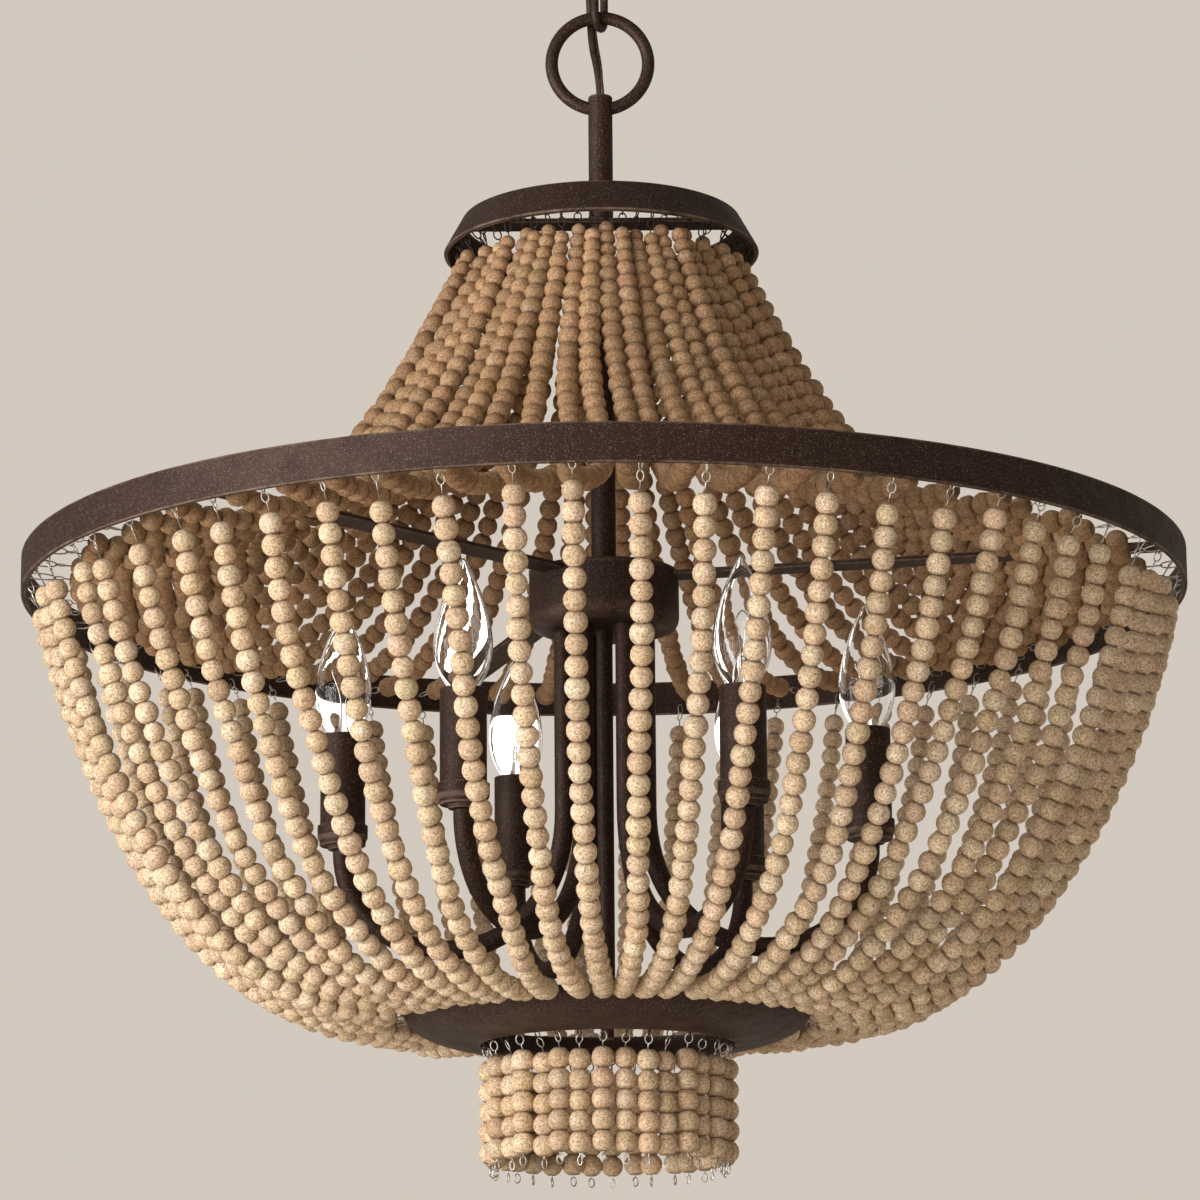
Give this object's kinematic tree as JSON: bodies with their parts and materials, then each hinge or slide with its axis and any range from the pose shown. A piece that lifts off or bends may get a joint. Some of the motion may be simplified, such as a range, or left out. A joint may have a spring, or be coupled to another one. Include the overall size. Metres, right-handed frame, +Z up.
{
  "type": "beaded chandelier",
  "caption": "Chandelier with a dark metal hoop and strands of wooden beads hung as a crown, a bowl and a fringe round candle lights, on a short chain from a ceiling canopy.",
  "frame": {"origin": "centre of the ceiling strap's flat top face, on the chandelier's axis, in the ceiling plane", "axes": "+Z up into the ceiling, along the chandelier's axis; the viewer of the picture stands towards -Y, and +X is to that viewer's right"},
  "size_m": [0.7112, 0.7112, 0.847],
  "materials": {
    "bronze": "dark bronze powder coat with fine light speckles, satin",
    "beads": "turned wooden beads, cream to tan with fine brown speckles, matt",
    "cord": "dark brown sheathed cord",
    "socket": "cream lamp socket",
    "glass": "clear lamp glass",
    "steel": "zinc plated steel, also the strands' wires and the lamps' bases"
  },
  "bodies": {
    "ceiling_fitting": {"ceiling_strap": "steel", "canopy": "bronze", "canopy_loop": "bronze"},
    "fixture": {"chain_link_1": "bronze", "chain_link_2": "bronze", "supply_cord": "cord", "hanging_loop": "bronze", "stem": "bronze", "top_band": "bronze", "top_crossbar": "bronze", "hoop": "bronze", "hub": "bronze", "spoke_1": "bronze", "spoke_2": "bronze", "spoke_3": "bronze", "centre_rod": "bronze", "rod_nut": "bronze", "dish": "bronze", "dish_crossbar": "bronze", "arm_1": "bronze", "arm_2": "bronze", "arm_3": "bronze", "arm_4": "bronze", "arm_5": "bronze", "arm_6": "bronze", "cup_1": "bronze", "cup_2": "bronze", "cup_3": "bronze", "cup_4": "bronze", "cup_5": "bronze", "cup_6": "bronze", "candle_sleeve_1": "bronze", "candle_sleeve_2": "bronze", "candle_sleeve_3": "bronze", "candle_sleeve_4": "bronze", "candle_sleeve_5": "bronze", "candle_sleeve_6": "bronze", "socket_1": "socket", "socket_2": "socket", "socket_3": "socket", "socket_4": "socket", "socket_5": "socket", "socket_6": "socket", "crown_strands_1": "beads", "crown_strands_2": "beads", "crown_strands_3": "beads", "bowl_strands_1": "beads", "bowl_strands_2": "beads", "bowl_strands_3": "beads", "fringe_strands": "beads"},
    "bulb_body_1": {"bulb_1": "glass"},
    "bulb_body_2": {"bulb_2": "glass"},
    "bulb_body_3": {"bulb_3": "glass"},
    "bulb_body_4": {"bulb_4": "glass"},
    "bulb_body_5": {"bulb_5": "glass"},
    "bulb_body_6": {"bulb_6": "glass"}
  },
  "joints": [
    {"name": "chain_swing", "type": "hinge", "parent": "ceiling_fitting", "child": "fixture", "pos_m": [0, 0, -0.066], "axis": [0, 1, 0], "range_deg": [-15, 15], "deforming": ["supply_cord"]},
    {"name": "bulb_1_unscrew", "type": "slide", "parent": "fixture", "child": "bulb_body_1", "axis": [0, 0, 1], "range_m": [0, 0.009]},
    {"name": "bulb_2_unscrew", "type": "slide", "parent": "fixture", "child": "bulb_body_2", "axis": [0, 0, 1], "range_m": [0, 0.009]},
    {"name": "bulb_3_unscrew", "type": "slide", "parent": "fixture", "child": "bulb_body_3", "axis": [0, 0, 1], "range_m": [0, 0.009]},
    {"name": "bulb_4_unscrew", "type": "slide", "parent": "fixture", "child": "bulb_body_4", "axis": [0, 0, 1], "range_m": [0, 0.009]},
    {"name": "bulb_5_unscrew", "type": "slide", "parent": "fixture", "child": "bulb_body_5", "axis": [0, 0, 1], "range_m": [0, 0.009]},
    {"name": "bulb_6_unscrew", "type": "slide", "parent": "fixture", "child": "bulb_body_6", "axis": [0, 0, 1], "range_m": [0, 0.009]}
  ]
}
